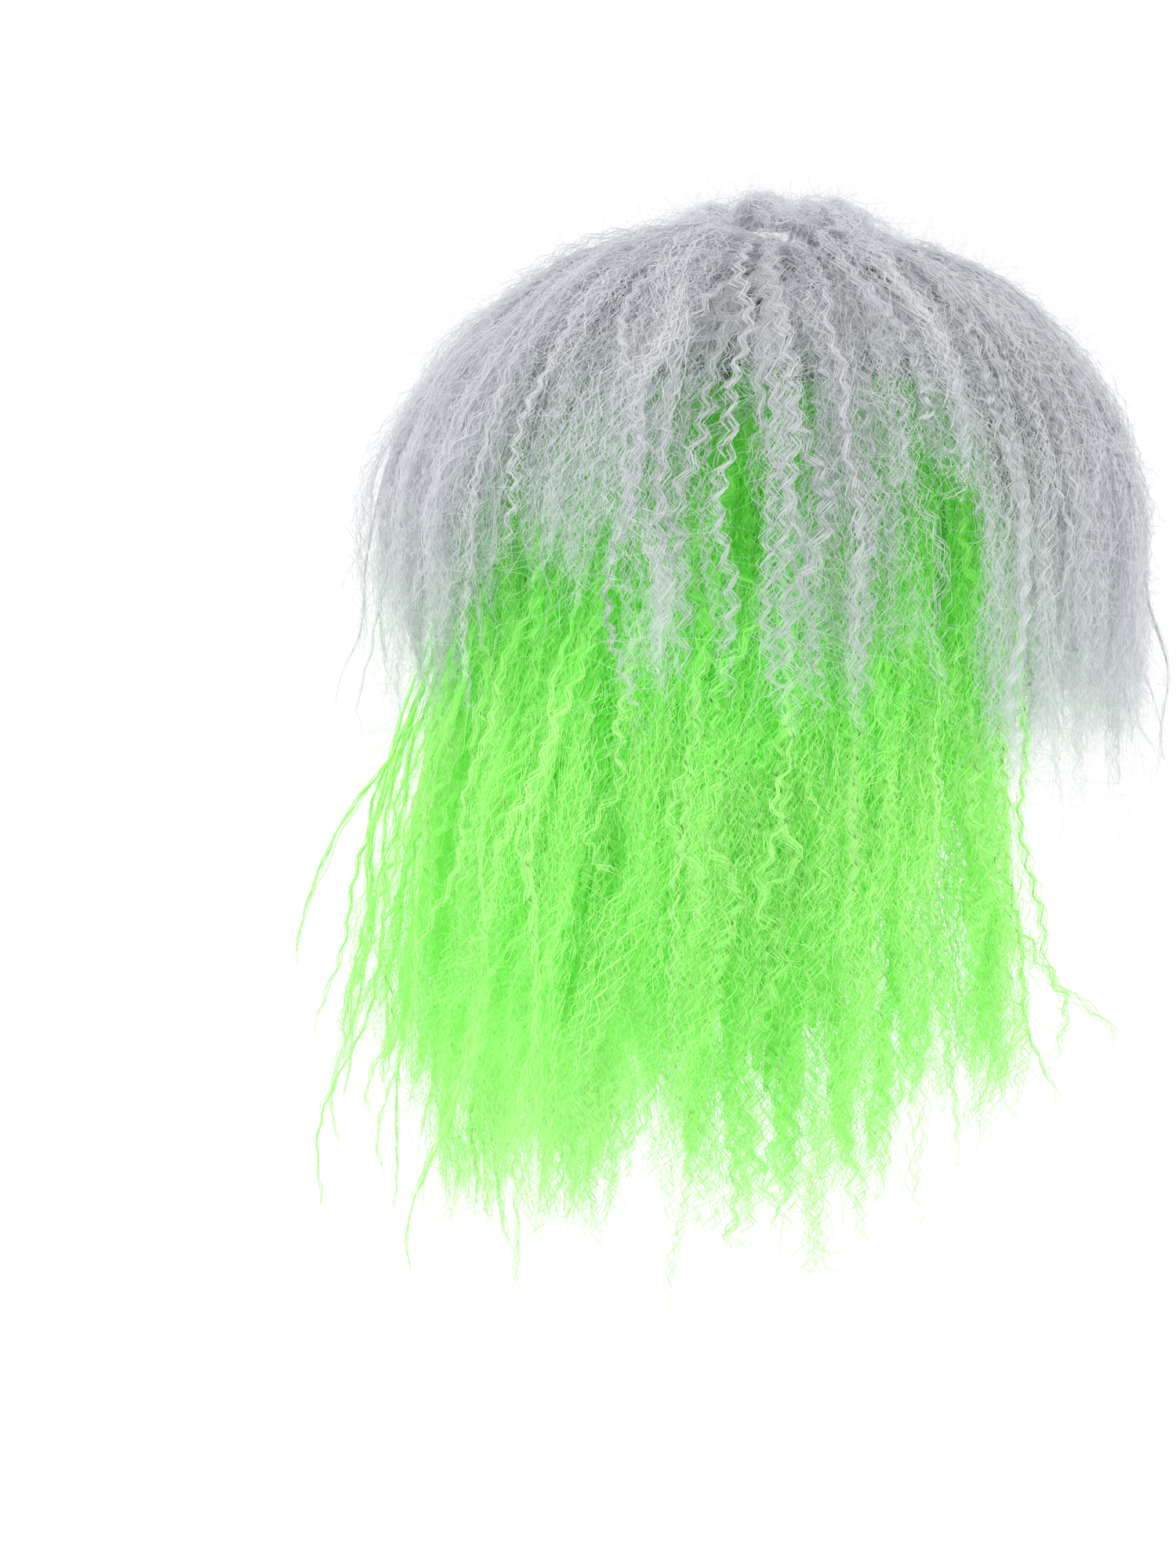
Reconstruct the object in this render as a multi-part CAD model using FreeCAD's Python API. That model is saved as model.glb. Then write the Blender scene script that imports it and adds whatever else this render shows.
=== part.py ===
"""Costume wig: stretch net cap, bindings, ribs, ear tabs, nape adjusters, weft tracks and hair sections.

Millimetres, +Z up, the face looks along -Y and the wearer's left is +X.
The origin is the middle of the head space, at the level of its widest girth.
"""
import FreeCAD
import Part

import math
import os

from FreeCAD import Vector

# Head space: the inside of the cap. Its girth at z = 0 is about 548 mm.
HEAD_HALF_WIDTH = 77.5
HEAD_HALF_DEPTH = 96.0
HEAD_CROWN = 104.0
HEAD_LOWER = 140.0

# Layers of the cap, measured outwards from the head space.
NET_THICKNESS = 1.0
TAPE_INNER = -1.1
TAPE_OUTER = -0.15
TRACK_INNER = 1.15
TRACK_OUTER = 2.9
PATCH_OUTER = 1.75

# Weft tracks: how tall each strip is, and the heights of their middles, lowest first.
TRACK_HEIGHT = 5.0
TRACK_RIM_RISE = 1.0
GREEN_NAPE_TRACK_Z = -48.0
GREEN_BACK_TRACK_Z = -5.0
GREEN_SIDE_TRACK_Z = 16.0
SILVER_FRINGE_TRACK_Z = 46.0
GREEN_UPPER_TRACK_Z = 50.0
SILVER_BACK_TRACK_Z = 62.0
SILVER_CROWN_TRACK_Z = 78.0

# Panels of the net: the crown panel's lower edge, and how far forward and back the side panels reach.
CROWN_PANEL_LOW = 60.0
SIDE_PANEL_REACH = 45.0
SEAM_GAP = 0.3

# Rim of the cap in side view, (y, z), from the forehead round the ear to the nape.
RIM = [(-130, 34), (-78, 30), (-74, 2.6), (-46, 2.6), (-38, 6), (2, 6), (18, -30), (32, -66), (130, -70)]
FRONT_BAND_BACK = -74.0
NAPE_BAND_SIDE = 24.0
BAND_WIDTH = 9.0
BAND_GAP = 0.4

# Ear tabs, in side view.
TAB_OUTLINE = [(-72.5, 2.0), (-71.5, -18), (-66, -26), (-56, -26), (-49, -16), (-47, 2.0)]
STAY_FRONT = -61.5
STAY_BACK = -58.0
STAY_LOW = -22.0
STAY_HIGH = -2.0

# Elastic ribs inside the cap.
RIB_WIDTH = 9.0
SIDE_RIB_OFFSET = 42.0
RIB_RIM_RISE = BAND_WIDTH + 0.5

# Crown patch and blank size label.
PATCH_LOW = 92.0
LABEL_X = (12.0, 34.0)
LABEL_Z = (6.0, 22.0)

# Nape adjusters: everything lies on circles round one upright axis.
NAPE_AXIS_Y = 30.2
NAPE_Z = -60.0
NAPE_BAND_R = (51.2, 52.4)
NAPE_BAND_HALF_ANGLE = 72.0
NAPE_BAND_HEIGHT = 14.0
LOOP_TAPE_R = (50.6, 51.05)
LOOP_RUNG_R = (49.8, 50.6)
LOOP_ANGLES = [4.0 + 4.0 * step for step in range(8)]
LOOP_RUNG_WIDTH = 1.3
LOOP_HEIGHT = 8.0
STRAP_R = (48.5, 49.3)
STRAP_HEIGHT = 7.0
STRAP_ANGLES = (31.9, 68.0)
HOOK_ANGLES = (25.0, 31.8)
HOOK_R = (47.9, 49.3)
HOOK_NIB_R = 49.5
HOOK_NIB_ANGLE = 1.6
HOOK_NIB_HEIGHT = 6.0
HOOK_HEIGHT = 9.0
TUNNEL_R = (47.5, 51.05)
TUNNEL_SLOT_R = (48.15, 49.65)
TUNNEL_ANGLES = (41.0, 55.0)
TUNNEL_HEIGHT = 11.0
TUNNEL_SLOT_HEIGHT = 7.8

# Hair envelopes: half width, half depth, height above z = 0, and how far back the middle lies.
HAIR_INNER = (85.0, 103.0, 109.0, 0.0)
HAIR_NAPE_OUTER = (93.0, 112.0, 111.0, 4.0)
HAIR_MIDDLE = (101.0, 124.0, 113.0, 8.0)
HAIR_OUTER = (122.0, 149.0, 118.0, 22.0)
LAYER_GAP = 0.4

# Heights of the hair.
HINGE_Z = 45.0
CROWN_GAP = 0.6
SILVER_HEM = -66.0
FRINGE_HEM = -98.0
GREEN_LOW = -290.0
NAPE_ROOT_Z = -40.0
GREEN_HEM = [(-140, -198), (-30, -205), (0, -255), (18, -276), (88, -276), (112, -236), (190, -205)]
GREEN_FRONT = -74.0

# Hair sections: the way each one faces, in degrees from +X, and how far it lifts.
SECTIONS = {"fringe": (-90.0, 35.0), "left": (0.0, 30.0), "right": (180.0, 30.0), "back": (90.0, 30.0)}
# Half the spread of the front and back sections. The sides take what is left between them.
HALF_SPREAD = {"fringe": 50.0, "back": 45.0}
SECTION_GAP = 1.0
LIFT_CLEARANCE = 1.5

# Tuft that stands up at the crown.
TUFT_CENTRE = (0.0, 14.0, 116.0)
TUFT_HALF = (20.0, 36.0, 12.0)

REACH = 400.0
BASE_RADIUS = 100.0


def scaled(shape, x, y, z):
    """The shape stretched by a factor along each axis."""
    matrix = FreeCAD.Matrix()
    matrix.scale(Vector(x, y, z))
    return shape.transformGeometry(matrix)


def half_ellipsoid(half_x, half_y, half_z, upper):
    """Upper or lower half of an ellipsoid round the origin."""
    low, high = (0, 90) if upper else (-90, 0)
    ball = Part.makeSphere(BASE_RADIUS, Vector(0, 0, 0), Vector(0, 0, 1), low, high, 360)
    return scaled(ball, half_x / BASE_RADIUS, half_y / BASE_RADIUS, half_z / BASE_RADIUS)


def cap_solid(grow):
    """The head space, grown outwards by the given amount."""
    width = HEAD_HALF_WIDTH + grow
    depth = HEAD_HALF_DEPTH + grow
    upper = half_ellipsoid(width, depth, HEAD_CROWN + grow, True)
    lower = half_ellipsoid(width, depth, HEAD_LOWER + grow, False)
    return upper.fuse(lower)


def cap_shell(inner, outer):
    """A skin that follows the head between two offsets."""
    return cap_solid(outer).cut(cap_solid(inner))


def hair_solid(envelope, grow=0.0):
    """A dome with straight sides that hang down, filling one hair envelope."""
    half_x, half_y, height, centre_y = envelope
    dome = half_ellipsoid(half_x + grow, half_y + grow, height + grow, True)
    skirt = Part.makeCylinder(BASE_RADIUS, -GREEN_LOW, Vector(0, 0, GREEN_LOW))
    skirt = scaled(skirt, (half_x + grow) / BASE_RADIUS, (half_y + grow) / BASE_RADIUS, 1.0)
    solid = dome.fuse(skirt)
    solid.translate(Vector(0, centre_y, 0))
    return solid


def block(x, y, z):
    """A box from three (low, high) pairs."""
    return Part.makeBox(x[1] - x[0], y[1] - y[0], z[1] - z[0], Vector(x[0], y[0], z[0]))


def slab(low, high):
    """Everything between two heights."""
    return block((-REACH, REACH), (-REACH, REACH), (low, high))


def side_prism(outline):
    """A side-view outline of (y, z) points, run through the whole width."""
    points = [Vector(-REACH, y, z) for y, z in outline]
    face = Part.Face(Part.makePolygon(points + points[:1]))
    return face.extrude(Vector(2 * REACH, 0, 0))


def above_line(line, rise=0.0):
    """Everything above a side-view line, raised by the given amount."""
    raised = [(y, z + rise) for y, z in line]
    first, last = raised[0], raised[-1]
    return side_prism(raised + [(last[0], REACH), (first[0], REACH)])


def wedge(name, gap=SECTION_GAP):
    """The upright wedge of the front or back section, from the middle of the hair, moved out by the gap."""
    facing = SECTIONS[name][0]
    tip = Vector(0, HAIR_OUTER[3], GREEN_LOW - 10)
    reach = REACH * 1.2
    ends = []
    for turn in (-HALF_SPREAD[name], HALF_SPREAD[name]):
        angle = math.radians(facing + turn)
        ends.append(tip + Vector(reach * math.cos(angle), reach * math.sin(angle), 0))
    face = Part.Face(Part.makePolygon([tip] + ends + [tip]))
    solid = face.extrude(Vector(0, 0, 2 * REACH))
    outwards = math.radians(facing)
    solid.translate(Vector(gap * math.cos(outwards), gap * math.sin(outwards), 0))
    return solid


def side_region(side):
    """What is left between the fringe and the back section, on one side (+1 is the wearer's left)."""
    low_x, high_x = sorted((side * SECTION_GAP / 2, side * REACH))
    whole = block((low_x, high_x), (-REACH, REACH), (GREEN_LOW - 10, REACH))
    for name in HALF_SPREAD:
        whole = whole.cut(wedge(name, -SECTION_GAP))
    return whole


def section_region(name):
    """The upright region that a hair section stands in."""
    if name in HALF_SPREAD:
        return wedge(name)
    return side_region(1 if name == "left" else -1)


def hinge_point(name):
    """A point on the section's hinge line: where the middle envelope passes the hinge height."""
    half_x, half_y, height, centre_y = HAIR_MIDDLE
    share = math.sqrt(1.0 - (HINGE_Z / height) ** 2)
    angle = math.radians(SECTIONS[name][0])
    y = centre_y if name in HALF_SPREAD else 0.0
    return Vector(half_x * share * math.cos(angle), y + half_y * share * math.sin(angle), HINGE_Z)


def under_lift(name):
    """Room that stays clear of the crown hair while the section lifts."""
    facing, lift = SECTIONS[name]
    room = block((-REACH, REACH), (-REACH, REACH), (-2 * REACH, 0))
    room.rotate(Vector(0, 0, 0), Vector(0, 1, 0), lift + LIFT_CLEARANCE)
    room.rotate(Vector(0, 0, 0), Vector(0, 0, 1), facing)
    room.translate(hinge_point(name))
    return room.common(slab(GREEN_LOW - 10, HINGE_Z))


def ring_sector(radii, angles, height, middle_z=NAPE_Z):
    """Part of a ring round the nape axis. Angles run from the nape's middle towards the wearer's left."""
    low = middle_z - height / 2
    start = 90.0 - angles[1]
    ring = Part.makeCylinder(radii[1], height, Vector(0, 0, low), Vector(0, 0, 1), angles[1] - angles[0])
    hole = Part.makeCylinder(radii[0], height, Vector(0, 0, low), Vector(0, 0, 1), 360)
    ring = ring.cut(hole)
    ring.rotate(Vector(0, 0, 0), Vector(0, 0, 1), start)
    ring.translate(Vector(0, NAPE_AXIS_Y, 0))
    return ring


def mirrored(shape):
    """The same piece on the wearer's right."""
    return shape.mirror(Vector(0, 0, 0), Vector(1, 0, 0))


def save(name, shape):
    """Writes one node and prints its volume."""
    solids = [s for s in shape.Solids if s.Volume > 0.05]
    result = solids[0] if len(solids) == 1 else Part.makeCompound(solids)
    result.exportStep(f"parts/{name}.step")
    box = result.optimalBoundingBox(False)
    extent = f"x {box.XMin:7.1f} {box.XMax:7.1f}  y {box.YMin:7.1f} {box.YMax:7.1f}"
    extent += f"  z {box.ZMin:7.1f} {box.ZMax:7.1f}"
    volume = result.Volume / 1000
    print(f"{name:26s} solids {len(solids):2d} valid {result.isValid()} volume {volume:9.2f} cm3  {extent}")


def save_pair(name, left):
    """Writes a left piece and its mirror image."""
    save(f"{name}_left", left)
    save(f"{name}_right", mirrored(left))


def make_cap():
    """Net panels, bindings round the rim, elastic ribs, crown patch and blank label."""
    net = cap_shell(0.0, NET_THICKNESS).common(above_line(RIM))
    save("crown_net", net.common(slab(CROWN_PANEL_LOW, REACH)))
    skirt = net.common(slab(-REACH, CROWN_PANEL_LOW - SEAM_GAP))
    panel_edge = SIDE_PANEL_REACH + SEAM_GAP
    save("front_net", skirt.common(block((-REACH, REACH), (-REACH, -panel_edge), (-REACH, REACH))))
    save("nape_net", skirt.common(block((-REACH, REACH), (panel_edge, REACH), (-REACH, REACH))))
    side_panel = block((0, REACH), (-SIDE_PANEL_REACH, SIDE_PANEL_REACH), (-REACH, REACH))
    save_pair("side_net", skirt.common(side_panel))

    tape = cap_shell(TAPE_INNER, TAPE_OUTER)
    binding = tape.common(above_line(RIM)).cut(above_line(RIM, BAND_WIDTH))
    front = block((-REACH, REACH), (-REACH, FRONT_BAND_BACK), (-REACH, REACH))
    nape = block((-REACH, REACH), (NAPE_BAND_SIDE, REACH), (-REACH, REACH))
    side = block((0, REACH), (FRONT_BAND_BACK + BAND_GAP, NAPE_BAND_SIDE - BAND_GAP), (-REACH, REACH))
    save("front_band", binding.common(front))
    save("nape_binding", binding.common(nape))
    save_pair("side_band", binding.common(side))

    inner = tape.common(above_line(RIM, RIB_RIM_RISE))
    across = RIB_WIDTH / 2
    save("rib_center", inner.common(block((-across, across), (-REACH, REACH), (-REACH, REACH))))
    side_rib_x = (SIDE_RIB_OFFSET - across, SIDE_RIB_OFFSET + across)
    save_pair("rib", inner.common(block(side_rib_x, (-REACH, REACH), (-REACH, REACH))))
    save("size_label", inner.common(block(LABEL_X, (0, REACH), LABEL_Z)))
    save("crown_patch", cap_shell(TRACK_INNER, PATCH_OUTER).common(slab(PATCH_LOW, REACH)))


def make_ear_tabs():
    """Shaped tabs in front of the ears, each with a bendable flat stay inside it."""
    left_half = block((0, REACH), (-REACH, 0), (-REACH, REACH))
    tab = cap_shell(0.0, NET_THICKNESS).common(side_prism(TAB_OUTLINE)).common(left_half)
    save_pair("ear_tab", tab)
    stay_box = block((0, REACH), (STAY_FRONT, STAY_BACK), (STAY_LOW, STAY_HIGH))
    save_pair("ear_stay", cap_shell(TAPE_INNER, TAPE_OUTER).common(stay_box))


def make_adjusters():
    """Nape band with its loop rows, strap tunnels, elastic straps and hooks."""
    half = NAPE_BAND_HALF_ANGLE
    save("nape_band", ring_sector(NAPE_BAND_R, (-half, half), NAPE_BAND_HEIGHT))

    row = ring_sector(LOOP_TAPE_R, (LOOP_ANGLES[0] - 2, LOOP_ANGLES[-1] + 2), LOOP_HEIGHT + 2)
    half_rung = math.degrees(LOOP_RUNG_WIDTH / 2 / LOOP_RUNG_R[0])
    for angle in LOOP_ANGLES:
        rung = ring_sector(LOOP_RUNG_R, (angle - half_rung, angle + half_rung), LOOP_HEIGHT)
        row = row.fuse(rung)
    save_pair("loop_row", row)

    sleeve = ring_sector(TUNNEL_R, TUNNEL_ANGLES, TUNNEL_HEIGHT)
    slot_angles = (TUNNEL_ANGLES[0] - 1, TUNNEL_ANGLES[1] + 1)
    sleeve = sleeve.cut(ring_sector(TUNNEL_SLOT_R, slot_angles, TUNNEL_SLOT_HEIGHT))
    save_pair("strap_tunnel", sleeve)

    save_pair("adjuster_strap", ring_sector(STRAP_R, STRAP_ANGLES, STRAP_HEIGHT))
    plate = ring_sector(HOOK_R, HOOK_ANGLES, HOOK_HEIGHT)
    nib_angles = (HOOK_ANGLES[0], HOOK_ANGLES[0] + HOOK_NIB_ANGLE)
    nib = ring_sector((HOOK_R[0], HOOK_NIB_R), nib_angles, HOOK_NIB_HEIGHT)
    save_pair("adjuster_hook", plate.fuse(nib))


def track(region, middle_z):
    """A sewn weft track: a raised strip round part of the cap at one height."""
    strip = cap_shell(TRACK_INNER, TRACK_OUTER)
    strip = strip.common(slab(middle_z - TRACK_HEIGHT / 2, middle_z + TRACK_HEIGHT / 2))
    return strip.common(region).common(above_line(RIM, TRACK_RIM_RISE))


def make_tracks():
    """Weft tracks, lowest first. Hair hangs from each of them."""
    everywhere = block((-REACH, REACH), (-REACH, REACH), (-REACH, REACH))
    back = section_region("back")
    side = section_region("left")
    save("green_nape_track", track(back, GREEN_NAPE_TRACK_Z))
    save("green_back_track", track(back, GREEN_BACK_TRACK_Z))
    save_pair("green_side_track", track(side, GREEN_SIDE_TRACK_Z))
    save("silver_fringe_track", track(section_region("fringe"), SILVER_FRINGE_TRACK_Z))
    save("green_upper_track", track(everywhere.cut(wedge("fringe")), GREEN_UPPER_TRACK_Z))
    save("silver_back_track", track(back, SILVER_BACK_TRACK_Z))
    save_pair("silver_side_track", track(side, SILVER_BACK_TRACK_Z))
    save("silver_crown_track", track(everywhere, SILVER_CROWN_TRACK_Z))


def make_hair():
    """Hair of every weft, as the closed volume it fills, in sections that lift."""
    outer = hair_solid(HAIR_OUTER)
    middle = hair_solid(HAIR_MIDDLE)
    inner = hair_solid(HAIR_INNER)
    over_middle = hair_solid(HAIR_MIDDLE, LAYER_GAP)
    nape_outer = hair_solid(HAIR_NAPE_OUTER)
    over_nape = hair_solid(HAIR_NAPE_OUTER, LAYER_GAP)
    above_hem = above_line(GREEN_HEM)

    crown = outer.cut(inner).common(slab(HINGE_Z + CROWN_GAP, REACH))
    save("silver_crown_hair", crown)
    tuft = Part.makeSphere(BASE_RADIUS)
    tuft = scaled(tuft, TUFT_HALF[0] / BASE_RADIUS, TUFT_HALF[1] / BASE_RADIUS, TUFT_HALF[2] / BASE_RADIUS)
    tuft.translate(Vector(*TUFT_CENTRE))
    save("silver_crown_tuft", tuft.cut(hair_solid(HAIR_OUTER, LAYER_GAP)))

    fringe_room = under_lift("fringe").common(section_region("fringe"))
    save("silver_fringe_hair", outer.cut(inner).common(fringe_room).common(slab(FRINGE_HEM, HINGE_Z)))

    silver_layer = outer.cut(over_middle).common(slab(SILVER_HEM, HINGE_Z))
    green_upper = middle.cut(inner).common(slab(SILVER_HEM - LAYER_GAP, HINGE_Z))
    green_lower = outer.cut(inner).common(slab(GREEN_LOW, SILVER_HEM - LAYER_GAP)).common(above_hem)
    behind_face = block((-REACH, REACH), (GREEN_FRONT, REACH), (-REACH, REACH))

    left_room = section_region("left")
    left_under = under_lift("left").common(left_room)
    save_pair("silver_side_hair", silver_layer.common(left_under))
    side_green = green_upper.fuse(green_lower).common(behind_face)
    save_pair("green_side_hair", side_green.common(left_under))

    back_under = under_lift("back").common(section_region("back"))
    save("silver_back_hair", silver_layer.common(back_under))
    nape_room = slab(GREEN_LOW, NAPE_ROOT_Z).common(section_region("back"))
    nape_hair = nape_outer.cut(inner).common(nape_room).common(above_hem)
    save("green_nape_hair", nape_hair)
    nape_space = over_nape.common(slab(GREEN_LOW - 1, NAPE_ROOT_Z + LAYER_GAP))
    back_green = green_upper.fuse(green_lower).common(back_under).cut(nape_space)
    save("green_back_hair", back_green)


os.makedirs("parts", exist_ok=True)
make_cap()
make_ear_tabs()
make_adjusters()
make_tracks()
make_hair()
for section in SECTIONS:
    point = hinge_point(section)
    print(f"hinge {section}: {point.x:.2f} {point.y:.2f} {point.z:.2f}")
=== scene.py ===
"""Looks of the costume wig: crimped hair as real strands, and the cap's net, tapes, tabs and adjusters.

Metres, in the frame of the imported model: +Z up, the face looks along -Y, the wearer's left is +X.
The hair is built as on the real wig: tresses rooted on the cap's wefts, each a bundle of crimped strands,
with matted hair behind them and short fuzz all over.
"""
import math

import bpy
import numpy as np
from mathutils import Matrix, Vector
from mathutils.bvhtree import BVHTree


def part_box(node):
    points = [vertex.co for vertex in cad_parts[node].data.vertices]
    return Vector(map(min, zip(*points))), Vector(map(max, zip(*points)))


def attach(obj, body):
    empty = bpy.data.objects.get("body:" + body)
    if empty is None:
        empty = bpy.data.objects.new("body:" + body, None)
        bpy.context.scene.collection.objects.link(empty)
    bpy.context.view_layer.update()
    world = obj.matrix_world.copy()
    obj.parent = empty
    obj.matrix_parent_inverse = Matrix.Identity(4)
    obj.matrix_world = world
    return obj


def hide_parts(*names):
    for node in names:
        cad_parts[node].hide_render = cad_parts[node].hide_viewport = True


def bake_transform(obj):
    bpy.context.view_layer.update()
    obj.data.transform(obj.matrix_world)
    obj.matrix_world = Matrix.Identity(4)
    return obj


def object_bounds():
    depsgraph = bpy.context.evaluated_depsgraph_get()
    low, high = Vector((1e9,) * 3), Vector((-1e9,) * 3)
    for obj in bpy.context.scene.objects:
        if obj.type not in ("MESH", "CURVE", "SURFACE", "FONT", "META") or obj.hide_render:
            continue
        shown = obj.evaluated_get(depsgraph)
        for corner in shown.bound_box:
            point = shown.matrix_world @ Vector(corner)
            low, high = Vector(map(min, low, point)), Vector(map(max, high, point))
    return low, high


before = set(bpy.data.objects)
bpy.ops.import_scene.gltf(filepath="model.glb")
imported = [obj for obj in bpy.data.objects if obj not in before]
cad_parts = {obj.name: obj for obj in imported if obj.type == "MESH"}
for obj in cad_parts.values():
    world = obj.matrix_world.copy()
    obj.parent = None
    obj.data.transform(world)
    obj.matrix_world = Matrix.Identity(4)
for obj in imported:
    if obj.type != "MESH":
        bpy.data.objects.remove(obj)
CAD_LOW, CAD_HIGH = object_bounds()

SEED = 20
SILVER_CLUMP_SEED = 5
GREEN_CLUMP_SEED = 8
MM = 0.001

# ---------------------------------------------------------------- envelopes, read from the frame
CROWN_LOW, CROWN_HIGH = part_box("silver_crown_hair")
# half width, half depth, height above z = 0, and how far back the middle lies
CAP_SHAPE = np.array([
    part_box("side_net_left")[1].x,
    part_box("nape_net")[1].y,
    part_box("crown_net")[1].z,
    0.0,
])
OUTER_SHAPE = np.array([
    CAD_HIGH.x,
    (CAD_HIGH.y - CAD_LOW.y) / 2,
    CROWN_HIGH.z,
    (CAD_HIGH.y + CAD_LOW.y) / 2,
])
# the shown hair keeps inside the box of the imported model, grown by what hair may stand proud
PROUD = 13 * MM
PROUD_BELOW = 17 * MM
LIMIT_LOW = np.array(CAD_LOW) - [PROUD, PROUD, PROUD_BELOW]
LIMIT_HIGH = np.array(CAD_HIGH) + PROUD

# a depth of 0 is the cap and 1 is the outside of the hair
ROOT_DEPTH = 0.08
# spacing of the points of a lock, and the fewest steps before it may end
STEP = 2.0 * MM
SHORTEST_LOCK = 6
# how many locks of nearly the same length are dressed together
CHUNK = 16
FUZZ_POINTS = 6
QUARTER = math.pi / 2

# the way a section faces and half its spread, in degrees; left and right take the rest
SECTION_WEDGES = {"fringe": (-90.0, 50.0), "back": (90.0, 45.0)}
SECTIONS = ("fringe", "left", "right", "back")


# ---------------------------------------------------------------- small helpers
def smooth(x):
    """Smoothstep of x, clipped to 0..1."""
    x = np.clip(x, 0.0, 1.0)
    return x * x * (3 - 2 * x)


def mix(a, b, t):
    """Linear mix of a and b."""
    return a + (b - a) * t


def unit(v):
    """Vectors at length one."""
    return v / np.maximum(np.linalg.norm(v, axis=-1, keepdims=True), 1e-12)


def column(values):
    """A row of numbers as a column, to spread over the steps of a line."""
    return np.asarray(values)[:, None]


def wave(phase):
    """A zigzag with rounded corners, between -1 and 1."""
    return np.sin(phase) - np.sin(3 * phase) / 9


def spread_out(count, rng):
    """count numbers between -1 and 1, evenly spread with a little jitter, in random order."""
    places = (np.arange(count) + rng.uniform(0, 1, count)) / max(count, 1)
    return rng.permutation(places * 2 - 1)


def envelope(depth):
    """Shape of the surface at a depth: 0 is the cap and 1 is the outside of the hair."""
    return CAP_SHAPE + (OUTER_SHAPE - CAP_SHAPE) * depth[..., None]


def surface(depth, azimuth, polar, drop):
    """Points on the surface at a depth. Polar is 0 at the crown; drop is how far below the rim."""
    shape = envelope(depth)
    x = shape[..., 0] * np.sin(polar) * np.cos(azimuth)
    y = shape[..., 3] + shape[..., 1] * np.sin(polar) * np.sin(azimuth)
    z = shape[..., 2] * np.cos(polar) - drop
    return np.stack([x, y, z], -1)


def run_down(azimuth, depth, polar, drop, stop_z, steps):
    """Centre lines that run down the surface.

    azimuth is a function of the height, and depth of the way gone and the height.
    Returns points (locks, steps, 3) and how many points each lock has before it passes its stop height.
    """
    count = len(stop_z)
    points = np.zeros((count, steps, 3))
    length = np.full(count, steps)
    done = np.zeros(count, bool)
    z = np.full(count, 1.0)
    for i in range(steps):
        a = azimuth(z)
        d = depth(i * STEP, z)
        points[:, i] = surface(d, a, polar, drop)
        z = points[:, i, 2]
        passed = (z < stop_z) & ~done & (i > SHORTEST_LOCK)
        length[passed] = i
        done |= passed
        shape = envelope(d)
        along = np.sqrt(
            (shape[:, 0] * np.cos(polar) * np.cos(a)) ** 2
            + (shape[:, 1] * np.cos(polar) * np.sin(a)) ** 2
            + (shape[:, 2] * np.sin(polar)) ** 2
        )
        turned = polar + STEP / np.maximum(along, 0.02)
        over = np.maximum(turned - QUARTER, 0.0)
        drop = drop + over * along
        polar = np.minimum(turned, QUARTER)
    return points, length


def wander(count, steps, reach, wavelength, rng):
    """Slow random sideways drift, zero at the root, as (count, steps, 2)."""
    s = np.arange(steps) * STEP
    drift = np.zeros((count, steps, 2))
    for octave in (1.0, 2.3):
        phase = rng.uniform(0, 2 * np.pi, (count, 1, 2))
        bend = rng.normal(0, 1, (count, 1, 2)) / octave
        drift += bend * (np.sin(s[None, :, None] * 2 * np.pi * octave / wavelength + phase) - np.sin(phase))
    return drift * reach


def waver(s, size, rng):
    """Loose waviness of single strands at three wavelengths, zero at the root, as (count, steps)."""
    count = len(s)
    total = 0.0
    for scale, share in ((0.013, 1.0), (0.0042, 0.5), (0.0019, 0.28)):
        turn = s / scale * rng.uniform(0.7, 1.3, (count, 1)) + rng.uniform(0, 2 * np.pi, (count, 1))
        total = total + share * np.sin(turn)
    return total * size * smooth(s / 0.03)


def frames(points):
    """Tangent, outward and sideways directions along each line."""
    tangent = unit(np.gradient(points, axis=1))
    outward = points - np.array([0.0, OUTER_SHAPE[3] / 2, 0.0])
    outward[..., 2] = np.maximum(outward[..., 2], 0.0)
    outward = unit(outward - (outward * tangent).sum(-1, keepdims=True) * tangent)
    return tangent, outward, np.cross(tangent, outward)


def kept_in(lines):
    """Which of the lines stay inside the limits all along."""
    return ((lines > LIMIT_LOW) & (lines < LIMIT_HIGH)).all((1, 2))


def resample(points, length, steps):
    """Each line cut to its own length and spread over the same number of steps."""
    place = np.arange(steps)[None] * (column(length) - 1) / (steps - 1)
    low = np.minimum(np.floor(place), points.shape[1] - 2).astype(int)
    rows = column(np.arange(len(points)))
    return mix(points[rows, low], points[rows, low + 1], (place - low)[..., None])


# ---------------------------------------------------------------- turning lines into meshes
class Bundle:
    """Collects strips and tubes."""

    LIMIT = 190000

    def __init__(self, name, material, slot, place):
        self.name, self.material, self.slot, self.place = name, material, slot, place
        self.parts = []
        self.triangles = 0
        self.written = []

    def add(self, verts, quads, uvs):
        """verts (n, 3), quads (m, 4) and a uv for each vertex."""
        if self.triangles and self.triangles + 2 * len(quads) > self.LIMIT:
            self.flush()
        self.parts.append((verts, quads, uvs))
        self.triangles += 2 * len(quads)

    def flush(self):
        """Writes what has been collected as one piece."""
        if not self.parts:
            return
        offset, verts, quads, uvs = 0, [], [], []
        for v, q, t in self.parts:
            verts.append(v)
            quads.append(q + offset)
            uvs.append(t)
            offset += len(v)
        name = f"{self.name}_{len(self.written) + 1:02d}"
        piece = quad_mesh(
            name, np.concatenate(verts), np.concatenate(quads), np.concatenate(uvs), self.material,
        )
        self.place(piece)
        self.written.append(piece)
        self.parts, self.triangles = [], 0


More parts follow.
